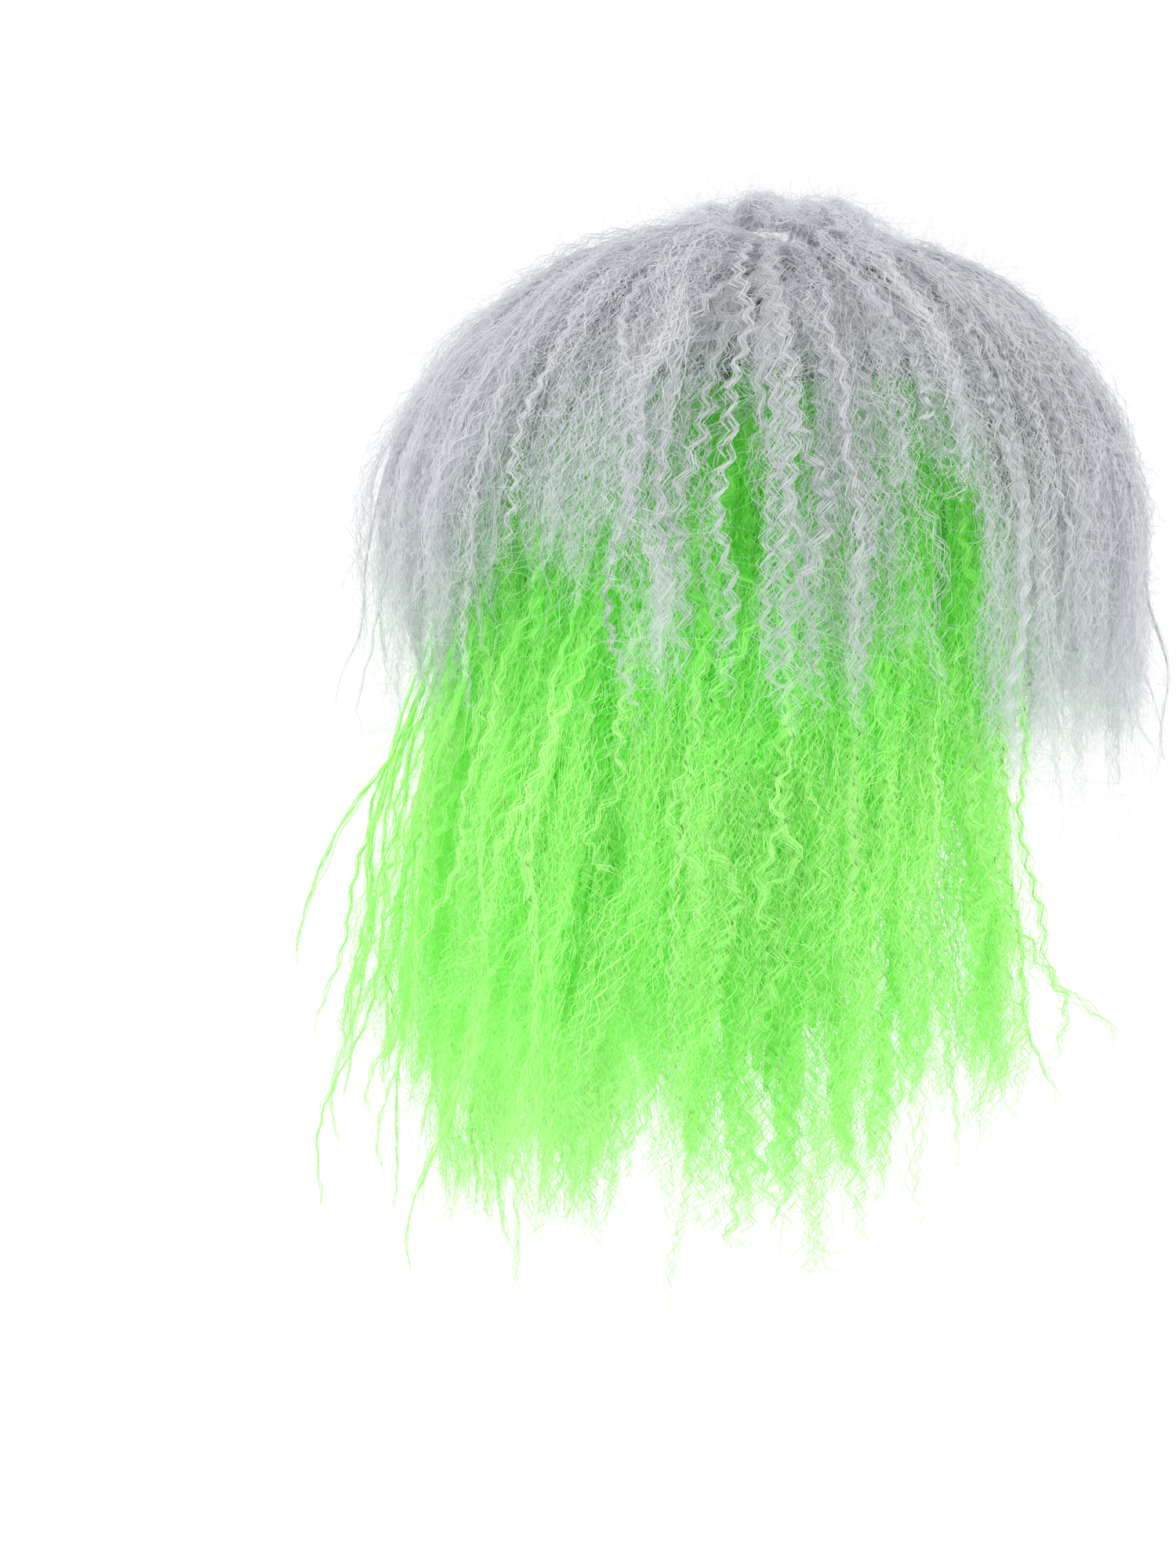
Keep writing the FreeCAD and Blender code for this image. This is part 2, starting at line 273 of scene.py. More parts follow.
def quad_mesh(name, verts, quads, uvs, material):
    """A smooth mesh from numpy arrays, with its own uv map, OFBake, that the hair's colour follows."""
    mesh = bpy.data.meshes.new(name)
    mesh.vertices.add(len(verts))
    mesh.vertices.foreach_set("co", verts.astype(np.float32).ravel())
    mesh.loops.add(len(quads) * 4)
    mesh.loops.foreach_set("vertex_index", quads.astype(np.int32).ravel())
    mesh.polygons.add(len(quads))
    mesh.polygons.foreach_set("loop_start", np.arange(0, len(quads) * 4, 4, dtype=np.int32))
    mesh.update(calc_edges=True)
    layer = mesh.uv_layers.new(name="OFBake")
    layer.data.foreach_set("uv", uvs[quads.ravel()].astype(np.float32).ravel())
    mesh.polygons.foreach_set("use_smooth", np.ones(len(quads), bool))
    mesh.materials.append(material)
    piece = bpy.data.objects.new(name, mesh)
    bpy.context.scene.collection.objects.link(piece)
    return piece


def cross_axes(line):
    """Two directions across each line, for strands that have no side of their own."""
    tangent = unit(np.gradient(line, axis=1))
    helper = unit(np.cross(tangent, np.array([0.31, 0.2, 0.93])))
    return helper, np.cross(tangent, helper)


def strip(line, across, width, shade, shade_span, along):
    """Flat bands. line and across (k, n, 3), width and along (k, n), shade (k,).

    shade_span is how much the shade changes over the width.
    """
    count, steps = line.shape[:2]
    half = across * (width / 2)[..., None]
    verts = np.stack([line - half, line + half], 2).reshape(-1, 3)
    first = (column(np.arange(count)) * steps + np.arange(steps - 1)[None]).ravel() * 2
    quads = np.stack([first, first + 1, first + 3, first + 2], 1)
    u = column(shade)[..., None] + np.array([0.0, shade_span]) + np.zeros((count, steps, 1))
    v = along[..., None] + np.zeros(2)
    return verts, quads, np.stack([u, v], -1).reshape(-1, 2)


def ribbon(line, width, roll, shade, along):
    """Thin strands: strips turned by roll about their own line."""
    helper, other = cross_axes(line)
    across = helper * np.cos(roll)[..., None] + other * np.sin(roll)[..., None]
    return strip(line, across, width, shade, 0.004, along)


def tube(line, radius, flatness, roll, shade, along, sides=4):
    """Thick soft strands. line (k, n, 3), radius and roll (k, n)."""
    count, steps = line.shape[:2]
    helper, other = cross_axes(line)
    rings = []
    for side in range(sides):
        angle = 2 * np.pi * side / sides
        across = np.cos(angle) * np.cos(roll) - flatness * np.sin(angle) * np.sin(roll)
        up = np.cos(angle) * np.sin(roll) + flatness * np.sin(angle) * np.cos(roll)
        rings.append(line + (helper * across[..., None] + other * up[..., None]) * radius[..., None])
    verts = np.stack(rings, 2).reshape(-1, 3)
    first = (column(np.arange(count)) * steps + np.arange(steps - 1)[None]).ravel() * sides
    quads = []
    for side in range(sides):
        after = (side + 1) % sides
        quads.append(np.stack([first + side, first + after, first + sides + after, first + sides + side], 1))
    u = column(shade)[..., None] + np.linspace(0, 0.03, sides) + np.zeros((count, steps, 1))
    v = along[..., None] + np.zeros(sides)
    return verts, np.concatenate(quads), np.stack([u, v], -1).reshape(-1, 2)


# ---------------------------------------------------------------- hair materials
def node(tree, kind, **inputs):
    """Adds a shader node and sets its inputs by name."""
    made = tree.nodes.new(kind)
    for key, value in inputs.items():
        made.inputs[key.replace("_", " ")].default_value = value
    return made


def new_material(name):
    """An empty node material, its tree and its Principled shader."""
    material = bpy.data.materials.new(name)
    material.use_nodes = True
    return material, material.node_tree, material.node_tree.nodes["Principled BSDF"]


def colour_ramp(tree, stops):
    """A ramp through (position, colour) stops."""
    ramp = tree.nodes.new("ShaderNodeValToRGB")
    elements = ramp.color_ramp.elements
    elements[0].position, elements[0].color = stops[0][0], (*stops[0][1], 1)
    elements[1].position, elements[1].color = stops[-1][0], (*stops[-1][1], 1)
    for position, colour in stops[1:-1]:
        elements.new(position).color = (*colour, 1)
    return ramp


def scaled(tree, colour, factor):
    """The colour times a factor."""
    tint = tree.nodes.new("ShaderNodeVectorMath")
    tint.operation = "SCALE"
    tree.links.new(colour, tint.inputs[0])
    tree.links.new(factor, tint.inputs["Scale"])
    return tint.outputs["Vector"]


def streaked(tree, colour, coordinates, scale, contrast):
    """The colour made lighter and darker in streaks along the hair."""
    stretch = tree.nodes.new("ShaderNodeMapping")
    stretch.inputs["Scale"].default_value = (*scale, 1.0)
    tree.links.new(coordinates, stretch.inputs["Vector"])
    noise = node(tree, "ShaderNodeTexNoise", Scale=1.0, Detail=3.0, Roughness=0.6)
    tree.links.new(stretch.outputs["Vector"], noise.inputs["Vector"])
    shade = node(
        tree, "ShaderNodeMapRange", From_Min=0.3, From_Max=0.7, To_Min=1 - contrast, To_Max=1 + contrast,
    )
    tree.links.new(noise.outputs["Fac"], shade.inputs["Value"])
    return scaled(tree, colour, shade.outputs["Result"])


def hair_material(name, stops, contrast, glow, see_through=0.35, streaks=(70.0, 5.0)):
    """Synthetic fibre that lets some light through.

    The colour runs from root to tip, and each strand has its own shade.
    """
    material, tree, shader = new_material(name)
    link = tree.links.new
    uv = tree.nodes.new("ShaderNodeUVMap")
    uv.uv_map = "OFBake"
    split = tree.nodes.new("ShaderNodeSeparateXYZ")
    link(uv.outputs["UV"], split.inputs["Vector"])
    ramp = colour_ramp(tree, stops)
    link(split.outputs["Y"], ramp.inputs["Fac"])
    colour = ramp.outputs["Color"]
    for scale, change in ((streaks, contrast), ((17.0, 1.6), contrast * 0.9)):
        colour = streaked(tree, colour, uv.outputs["UV"], scale, change)
    link(colour, shader.inputs["Base Color"])
    shader.inputs["Roughness"].default_value = 0.6
    shader.inputs["Specular IOR Level"].default_value = 0.2
    shader.inputs["Emission Color"].default_value = (*glow, 1)
    shader.inputs["Emission Strength"].default_value = 1.0
    through = tree.nodes.new("ShaderNodeBsdfTranslucent")
    link(colour, through.inputs["Color"])
    both = node(tree, "ShaderNodeMixShader", Fac=see_through)
    link(shader.outputs["BSDF"], both.inputs[1])
    link(through.outputs["BSDF"], both.inputs[2])
    link(both.outputs["Shader"], tree.nodes["Material Output"].inputs["Surface"])
    return material


SILVER = hair_material(
    "silver_fibre",
    [(0.0, (0.72, 0.725, 0.75)), (0.35, (0.81, 0.82, 0.84)), (1.0, (0.86, 0.87, 0.91))],
    contrast=0.08, glow=(0.012, 0.012, 0.013),
)
# Painted shade: the silver matted hair under the locks is coloured darker than the locks, with stronger dark
# streaks for the gaps between them.
SILVER_UNDER = hair_material(
    "silver_matted_fibre_painted_shade",
    [(0.0, (0.58, 0.60, 0.58)), (1.0, (0.68, 0.70, 0.70))],
    contrast=0.2, glow=(0.01, 0.011, 0.011), see_through=0.15, streaks=(110.0, 7.0),
)
GREEN = hair_material(
    "green_fibre",
    [(0.0, (0.16, 0.74, 0.06)), (0.3, (0.47, 1.0, 0.28)), (0.5, (0.69, 1.0, 0.46)), (1.0, (0.57, 1.0, 0.37))],
    contrast=0.13, glow=(0.02, 0.08, 0.012),
)
# Painted shade: the green matted hair under the locks is coloured darker than the locks, with stronger dark
# streaks for the gaps between them.
GREEN_UNDER = hair_material(
    "green_matted_fibre_painted_shade",
    [(0.0, (0.20, 0.74, 0.10)), (1.0, (0.38, 0.94, 0.24))],
    contrast=0.25, glow=(0.012, 0.05, 0.006), see_through=0.15, streaks=(110.0, 7.0),
)


# ---------------------------------------------------------------- hair sections
def section_of(points):
    """Which section each (x, y) hangs in: fringe, left, right or back."""
    angle = np.degrees(np.arctan2(points[:, 1] - OUTER_SHAPE[3], points[:, 0]))
    names = np.where(points[:, 0] > 0, "left", "right").astype(object)
    for name, (facing, spread) in SECTION_WEDGES.items():
        away = np.abs((angle - facing + 180) % 360 - 180)
        names[away < spread] = name
    return names


def hang_in():
    """Placing for hair rooted on the cap and hanging in a section: its transform is baked into its mesh."""
    def place(piece):
        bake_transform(piece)
    return place


def on_cap(piece):
    """Placing for hair and fittings that stay with the cap."""
    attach(piece, "cap")


def make_bundles():
    """One bundle for each colour and section, and for the matted hair under it."""
    bundles = {}
    for section in SECTIONS:
        place = hang_in()
        bundles["silver", section] = Bundle(f"silver_{section}_locks", SILVER, "silver_fibre", place)
        if section != "fringe":
            bundles["green", section] = Bundle(f"green_{section}_locks", GREEN, "green_fibre", place)
            bundles["green mat", section] = Bundle(
                f"green_{section}_matting", GREEN_UNDER, "green_fibre", place,
            )
    bundles["crown"] = Bundle("silver_crown_matting", SILVER_UNDER, "silver_fibre", on_cap)
    bundles["tuft"] = Bundle("silver_tuft_locks", SILVER, "silver_fibre", on_cap)
    return bundles


BUNDLES = make_bundles()


def pick(locks, chosen):
    """The chosen locks of a table of locks."""
    return {key: values[chosen] for key, values in locks.items()}


def dress(colour, locks, style, rng):
    """Turns lock centre lines into strands and fuzz, and adds them to their section's bundle."""
    middle = np.minimum(locks["length"], locks["points"].shape[1]) // 2
    anchor = locks["points"][np.arange(len(middle)), middle][:, :2]
    sections = section_of(anchor)
    if colour == "green":
        sections = np.where(sections == "fringe", np.where(anchor[:, 0] > 0, "left", "right"), sections)
    order = np.argsort(locks["length"])
    for chunk in np.array_split(order, max(1, len(order) // CHUNK)):
        for section in SECTIONS:
            chosen = chunk[sections[chunk] == section]
            if len(chosen):
                dress_chunk(BUNDLES[colour, section], pick(locks, chosen), style, rng)


def dress_chunk(bundle, locks, style, rng):
    """Dresses locks of nearly the same length with a core in the tight ones, strands, and fuzz."""
    steps = int(locks["length"].max())
    line = resample(locks["points"], locks["length"], steps)
    count = len(line)
    along = np.broadcast_to(np.linspace(0, 1, steps), (count, steps))
    s = along * column(locks["length"]) * STEP
    _, outward, sideways = frames(line)
    lock_shade = rng.uniform(0.02, 0.9, count)
    lock_phase = rng.uniform(0, 2 * np.pi, (count, 1))
    lock_phase = lock_phase + 0.9 * np.sin(s / 0.031 + rng.uniform(0, 6.3, (count, 1)))
    lock_plane = rng.normal(0, 0.3, (count, 1))
    taper = (0.5 + 0.6 * smooth(along * 2.5)) * (1 - along**4 * style["taper"])

    def crimped(index, loose, amplitude):
        """Sideways and outward offset of the crimp for the locks in index."""
        n = len(index)
        pace = 1 + rng.normal(0, 0.05, (n, 1)) * loose
        turn = 2 * np.pi * s[index] / column(locks["period"][index]) * pace
        phase = turn + lock_phase[index] + rng.normal(0, 1.9, (n, 1)) * loose
        plane = lock_plane[index] + rng.normal(0, 0.9, (n, 1)) * loose
        swing = amplitude * smooth(s[index] / 0.02) * mix(0.85, 1.35, along[index] ** 3) * wave(phase)
        return np.cos(plane) * swing, np.sin(plane) * swing

    def placed(index, side, out):
        """Points beside the locks in index."""
        return line[index] + sideways[index] * side[..., None] + outward[index] * out[..., None]

    tight = np.flatnonzero(locks["loose"] < 0.3)
    if len(tight):
        side, out = crimped(tight, 0.0, column(locks["amplitude"][tight]))
        radius = taper[tight] * style["core"] * (1 - along[tight] ** 3 * 0.97)
        roll = rng.uniform(0, np.pi, (len(tight), 1)) + np.zeros((len(tight), steps))
        bundle.add(*tube(placed(tight, side, out), radius, 0.7, roll, lock_shade[tight], along[tight]))

    index = np.repeat(np.arange(count), style["strands"])
    n = len(index)
    loose = column(locks["loose"][index])
    amplitude = column(locks["amplitude"][index]) * rng.uniform(0.7, 1.15, (n, 1))
    side, out = crimped(index, loose, amplitude)
    angle = rng.uniform(0, 2 * np.pi, (n, 1)) + rng.normal(0, 0.7, (n, 1)) * along[index]
    reach = np.sqrt(rng.uniform(0.03, 1.0, (n, 1))) * column(locks["girth"][index]) * taper[index]
    stray = np.where(rng.random((n, 1)) < style["stray_share"], style["stray"], 1.0)
    size = style["waver"] * mix(0.3, 1.0, loose) * stray * (1 - along[index] ** 4 * 0.5)
    side = side + np.cos(angle) * reach * 1.25 + waver(s[index], size, rng)
    out = out + np.sin(angle) * reach * 0.8 + waver(s[index], size, rng) * 0.8
    strands = placed(index, side, out)
    width = style["width"] * rng.uniform(0.7, 1.3, (n, 1)) * (1 - along[index] ** 6 * 0.6)
    roll = rng.uniform(0, np.pi, (n, 1)) + along[index] * rng.uniform(-4, 4, (n, 1))
    shade = np.clip(lock_shade[index] + rng.normal(0, 0.03, n), 0.001, 0.99)
    shown = rng.permutation(np.flatnonzero(kept_in(strands)))
    for group in np.array_split(shown, 5):
        keep = max(8, int(steps * rng.uniform(style["shortest"], 1.0)))
        bundle.add(*ribbon(
            strands[group, :keep], width[group, :keep], roll[group, :keep], shade[group],
            along[index[group], :keep],
        ))
    bundle.add(*fuzz(strands, outward[index], shade, int(style["fuzz"] * count), style["fuzz_length"], rng))


def fuzz(strands, outward, shade, number, longest, rng):
    """Short fibres that leave the strands in any direction and curl a little."""
    n, steps = strands.shape[:2]
    strand = rng.integers(0, n, number)
    place = rng.integers(3, steps - 1, number)
    start = strands[strand, place]
    tangent = unit(strands[strand, place + 1] - strands[strand, place - 1])
    away = outward[strand, place]
    forward = tangent * rng.normal(0.5, 0.5, (number, 1))
    heading = unit(forward + unit(rng.normal(0, 1, (number, 3))) + away * 0.35)
    bend = rng.normal(0, 0.45, (number, 3)) + np.array([0.0, 0.0, -0.12])
    size = longest * rng.uniform(0.25, 1.0, (number, 1, 1)) ** 1.6
    t = np.linspace(0, 1, FUZZ_POINTS)[None, :, None]
    kink = rng.normal(0, 0.05, (number, FUZZ_POINTS, 3)) * t
    line = start[:, None] + size * (heading[:, None] * t + bend[:, None] * t**2 + kink)
    width = 0.13 * MM * (1.15 - t[..., 0] * 0.8) * rng.uniform(0.8, 1.4, (number, 1))
    roll = rng.uniform(0, np.pi, (number, 1)) + np.zeros((number, FUZZ_POINTS))
    shown = kept_in(line)
    along = np.full((shown.sum(), FUZZ_POINTS), 0.8)
    return ribbon(line[shown], width[shown], roll[shown], shade[strand][shown], along)


def hang(root, tip, height, first, last, stop, gather, rng, drift=1.6 * MM, lift=0.05):
    """Centre lines of locks rooted on the cap at azimuth root and at a height, hanging down to stop.

    first and last are the depths below the root and near the end, and lift is the length over which a
    lock leaves the cap. gather holds the heights between which a lock goes from first to last, and from
    its root's azimuth to its tip's.
    """
    top, bottom = gather
    polar = np.arccos(np.clip(np.maximum(height, 0.0) / CAP_SHAPE[2], -1, 0.9995))

    def azimuth(z):
        return mix(root, tip, smooth((top - z) / (top - bottom)))

    def depth(s, z):
        layer = mix(first, last, smooth((top - z) / (top - bottom)))
        return mix(ROOT_DEPTH, layer, smooth(s / lift))

    stop = np.maximum(stop, CAD_LOW.z)
    reach = height.max() - stop.min() + 0.13 * smooth((height.max() - 0.02) / 0.06)
    steps = int(reach / STEP)
    points, length = run_down(azimuth, depth, polar, -np.minimum(height, 0.0), stop, steps)
    slow = wander(len(root), steps, drift, 0.11, rng)
    _, outward, sideways = frames(points)
    return points + sideways * slow[..., :1] + outward * slow[..., 1:] * 0.6, length


def lock_table(points, length, tight_share, rng):
    """A table of locks: some tight and boldly crimped, the others wide, soft and loosely crimped."""
    count = len(points)
    tight = rng.random(count) < tight_share

    def either(tight_range, loose_range):
        return np.where(tight, rng.uniform(*tight_range, count), rng.uniform(*loose_range, count))

    return {
        "points": points,
        "length": length,
        "loose": either((0.05, 0.25), (0.3, 0.8)),
        "amplitude": either((1.5, 2.4), (1.1, 2.0)) * MM,
        "period": either((9.0, 13.5), (7.5, 11.0)) * MM,
        "girth": either((1.2, 2.2), (2.8, 5.8)) * MM,
    }


SILVER_STYLE = {
    "strands": 15, "width": 0.27 * MM, "waver": 0.95 * MM, "stray_share": 0.16, "stray": 3.2,
    "taper": 0.55, "core": 0.5 * MM, "shortest": 0.9, "fuzz": 76, "fuzz_length": 27 * MM,
}
GREEN_STYLE = {
    "strands": 15, "width": 0.29 * MM, "waver": 1.15 * MM, "stray_share": 0.14, "stray": 3.0,
    "taper": 0.65, "core": 0.6 * MM, "shortest": 0.94, "fuzz": 62, "fuzz_length": 28 * MM,
}
# Fewer and wider strands for the hair that is mostly covered.
COVERED = {"strands": 11, "width": 0.38 * MM, "fuzz": 34}


# ---------------------------------------------------------------- silver hair
# Clumps on the wearer's right and back: middle azimuth, half spread in degrees, hem height in mm.
SILVER_CLUMPS = [
    (80, 6, -44), (92, 6, -66), (104, 6, -36), (115, 6, -24), (132, 7, -20), (146, 5, -64), (168, 5, -68),
    (177, 5, -66), (187, 5, 12), (199, 5, -88), (209, 5, -96), (220, 6, -78), (232, 6, -88), (244, 6, -74),
    (256, 6, -84), (268, 6, -76),
]
# Single tight locks that hang over the green: azimuth, hem height in mm.
SILVER_SINGLES = [(117, -68), (156, -56), (163, -60), (166, -69), (124, -10), (214, -100), (226, -96)]
# An azimuth on the right and its like on the left add up to half a turn and a whole one.
MIRROR = 540.0
# The heights between which silver locks gather, and the length over which they leave the cap.
SILVER_GATHER = (85 * MM, -15 * MM)
SILVER_LIFT = 0.022


def both_sides(rows, rng):
    """Rows of the right side, and their like on the left with a little of their own."""
    jitter = rng.uniform(-3, 3, len(rows))
    mirrored = [(MIRROR - row[0] + shift, *row[1:]) for row, shift in zip(rows, jitter)]
    return np.array([*rows, *mirrored], float)


def silver_layer(count, root_z, depths, hem_shift, style, rng):
    """One layer of silver locks rooted at about the same height and gathered into the clumps."""
    clump_rng = np.random.default_rng(SILVER_CLUMP_SEED)
    clumps = both_sides(SILVER_CLUMPS, clump_rng)
    clump_depth = clump_rng.normal(-0.02, 0.09, len(clumps))
    clump_swing = np.radians(clump_rng.normal(0, 2.5, len(clumps)))
    numbers = np.round(count * clumps[:, 1] / clumps[:, 1].sum()).astype(int)
    chosen = np.repeat(np.arange(len(clumps)), numbers)
    offset = np.concatenate([spread_out(number, rng) for number in numbers])
    total = len(chosen)
    middle, spread = np.radians(clumps[chosen, 0]), np.radians(clumps[chosen, 1])
    crossing = np.radians(np.where(rng.random(total) < 0.12, rng.uniform(-7, 7, total), 0.0))
    root = middle + offset * spread * 1.7 + crossing + clump_swing[chosen]
    tip = middle + offset * spread * rng.uniform(0.5, 1.1, total) - crossing
    target = rng.uniform(*depths, total) + clump_depth[chosen]
    stop = clumps[chosen, 2] * MM + hem_shift + np.abs(offset) * 12 * MM + rng.normal(0, 8, total) * MM
    points, length = hang(
        root, tip, rng.uniform(*root_z, total), target, target + rng.normal(0, 0.06, total), stop,
        gather=SILVER_GATHER, rng=rng, drift=3.2 * MM, lift=SILVER_LIFT,
    )
    dress("silver", lock_table(points, length, 0.26, rng), style, rng)


def silver_undercoat(count, rng):
    """Short fuzzy hair all round that hides where the crown's matting ends."""
    root = np.radians(spread_out(count, rng) * 180)
    points, length = hang(
        root, root + rng.normal(0, 0.06, count), rng.uniform(84, 100, count) * MM, np.full(count, 0.42),
        rng.uniform(0.42, 0.62, count), rng.uniform(34, 52, count) * MM,
        gather=(85 * MM, 45 * MM), rng=rng, lift=SILVER_LIFT,
    )
    dress("silver", lock_table(points, length, 0.1, rng), {**SILVER_STYLE, **COVERED}, rng)


def silver_singles(rng):
    """Tight zigzag locks that hang alone in front of the green hair."""
    rows = both_sides(SILVER_SINGLES, rng)
    count = len(rows)
    middle = np.radians(rows[:, 0])
    points, length = hang(
        middle, middle, rng.uniform(96, 104, count) * MM, np.full(count, 0.93), np.full(count, 0.97),
        rows[:, 1] * MM, gather=SILVER_GATHER, rng=rng, drift=2.4 * MM, lift=SILVER_LIFT,
    )
    locks = lock_table(points, length, 1.0, rng)
    locks["amplitude"] = rng.uniform(1.6, 2.4, count) * MM
    locks["loose"] = rng.uniform(0.15, 0.28, count)
    dress("silver", locks, SILVER_STYLE, rng)


def matting(keys, depths, azimuths, count, height, hem, rng):
    """Wide bands of matted hair close to the cap, behind the locks. hem gives the height where they end."""
    root = np.radians(mix(azimuths[0], azimuths[1], (spread_out(count, rng) + 1) / 2))
    depth = rng.uniform(*depths, count)
    points, length = hang(
        root, root, rng.uniform(*height, count), depth * 0.8, depth, hem(depth, root),
        gather=(60 * MM, -60 * MM), rng=rng,
    )
    steps = 40
    line = resample(points, length, steps)
    along = np.broadcast_to(np.linspace(0, 1, steps), (count, steps))
    _, outward, sideways = frames(line)
    lean = rng.normal(0, 0.35, (count, 1, 1))
    across = unit(sideways + outward * lean)
    width = rng.uniform(7, 11, (count, 1)) * MM * (0.55 + 0.45 * smooth(along * 3)) * (1 - along**9 * 0.8)
    line = line + outward * waver(along * 0.2, 1.2 * MM, rng)[..., None]
    sections = section_of(line[:, steps // 2])
    for key, members in keys.items():
        group = np.flatnonzero(np.isin(sections, members))
        if len(group):
            shade = rng.uniform(0, 0.85, len(group))
            BUNDLES[key].add(*strip(line[group], across[group], width[group], shade, 0.12, along[group]))


def tuft(count, centre, rise, longest, rng):
    """Short messy locks that arch up from the crown round a centre and fall on the hair about it."""
    steps = 42
    t = np.linspace(0, 1, steps)[None]
    lump = rng.integers(0, max(3, count // 7), count)
    lump_heading = rng.uniform(0, 2 * np.pi, count)[lump]
    lump_turn = rng.normal(0, 1.2, count)[lump]
    heading = column(lump_heading + rng.normal(0, 0.25, count))
    heading = heading + column(lump_turn + rng.normal(0, 0.4, count)) * t
    start = np.array(centre) + rng.normal(0, 7 * MM, (count, 2))[lump][:, None]
    start = start + rng.normal(0, 3 * MM, (count, 1, 2))
    reach = rng.uniform(0.4, 1.0, (count, 1)) * longest
    flat = start + (reach * t)[..., None] * np.stack([np.cos(heading), np.sin(heading)], -1)
    shape = envelope(np.full(1, 0.88))[0]
    inside = ((flat - [0.0, shape[3]]) ** 2 / shape[:2] ** 2).sum(-1)
    dome = shape[2] * np.sqrt(np.maximum(1 - inside, 0.05))
    arch = column(rng.uniform(0.2, 1.6, count)[lump]) * rng.uniform(0.6, 1, (count, 1)) * rise
    arch = arch * np.sin(np.pi * t**0.8)
    height = mix(CAP_SHAPE[2] + 2 * MM, dome, smooth(t * 4)) + arch
    locks = lock_table(np.concatenate([flat, height[..., None]], -1), np.full(count, steps), 0.45, rng)
    locks["period"] *= steps * STEP / (reach[:, 0] * 1.25)
    for chunk in np.array_split(np.arange(count), max(1, count // CHUNK)):
        dress_chunk(BUNDLES["tuft"], pick(locks, chunk), {**SILVER_STYLE, "fuzz": 26}, rng)


# ---------------------------------------------------------------- green hair
# Hem of the green hair in side view: (y, z) in mm, longest behind the ears.
GREEN_HEM = [
    (-140, -170), (-34, -174), (-11, -180), (10, -202), (26, -230), (44, -252), (73, -260), (90, -230),
    (117, -262), (135, -220), (150, -202), (170, -194),
]
# Azimuths that the green hair covers, round the back from one temple to the other.
GREEN_SPAN = (-20.0, 200.0)


def green_hem(depth, azimuth):
    """Height of the hem below each azimuth at a depth."""
    count = len(azimuth)
    y = surface(depth, azimuth, np.full(count, QUARTER), np.zeros(count))[:, 1]
    return np.interp(y / MM, *np.transpose(GREEN_HEM)) * MM


def green_layer(count, azimuths, root_z, depths, hem_shift, style, rng):
    """One layer of green locks. depths are the depth at the root's height and near the hem."""
    clump_rng = np.random.default_rng(GREEN_CLUMP_SEED)
    clumps = np.sort(clump_rng.uniform(*GREEN_SPAN, 40))
    clump_hem = clump_rng.normal(0, 15, len(clumps)) * MM
    clump_depth = clump_rng.normal(0, 0.12, len(clumps))
    root = mix(azimuths[0], azimuths[1], (spread_out(count, rng) + 1) / 2)
    nearest = np.abs(root[:, None] - clumps[None]).argmin(1)
    offset = root - clumps[nearest]
    crossing = np.where(rng.random(count) < 0.15, rng.normal(0, 9, count), rng.normal(0, 2, count))
    tip = root - offset * rng.uniform(-0.1, 0.5, count) + crossing
    first = rng.uniform(*depths[0], count)
    last = rng.uniform(*depths[1], count) + clump_depth[nearest]
    stop = green_hem(last, np.radians(tip)) + hem_shift + clump_hem[nearest]
    stop = stop + np.abs(offset) * 4 * MM + rng.normal(0, 8, count) * MM
    points, length = hang(
        np.radians(root), np.radians(tip), rng.uniform(*root_z, count), first, last, stop,
        gather=(20 * MM, -220 * MM), rng=rng, drift=4.2 * MM,
    )
    dress("green", lock_table(points, length, 0.24, rng), style, rng)


# Wisps at these azimuths have no like on the other side.
BACK_MIDDLE = (70, 100)
# Thin wisps that leave the hair: azimuth, hem height, then how far each swings outward and forward
# and how wide it loops, in mm, and the share of its length where it leaves.
GREEN_WISPS = [
    (198, -192, 8, 28, 9, 0.66), (200, -206, 4, 20, 6, 0.66), (196, -208, 3, 12, 5, 0.66),
    (201, -184, 6, 23, 10, 0.66), (52, -166, 36, -8, 0, 0.45), (66, -190, 20, -4, 2, 0.45),
    (88, -178, 11, 0, 3, 0.45), (101, -212, 9, -4, 4, 0.45), (117, -262, 12, -22, 4, 0.6),
    (104, -232, 6, -10, 4, 0.6), (128, -270, 4, -8, 3, 0.6), (150, -272, 3, 6, 4, 0.6),
    (172, -250, 5, 10, 3, 0.6), (186, -225, 6, 8, 3, 0.6), (150, -152, 3, 0, 9, 0.4),
    (138, -122, 2, 3, 8, 0.4), (126, -168, 3, -4, 9, 0.4), (163, -138, 2, 2, 8, 0.4),
]
SILVER_WISPS = [
    (262, -6, 12, 4, 4, 0.5), (256, -62, 9, 4, 4, 0.6), (248, -92, 7, 8, 4, 0.6), (236, -98, 5, 10, 4, 0.7),
    (226, -92, 4, 8, 5, 0.7), (84, -70, 9, -4, 3, 0.6), (96, -76, 8, -4, 3, 0.7), (110, -30, 3, -4, 5, 0.5),
    (140, -26, 3, 2, 5, 0.5), (176, -72, 3, 3, 4, 0.6), (208, -52, 4, 4, 6, 0.5),
]


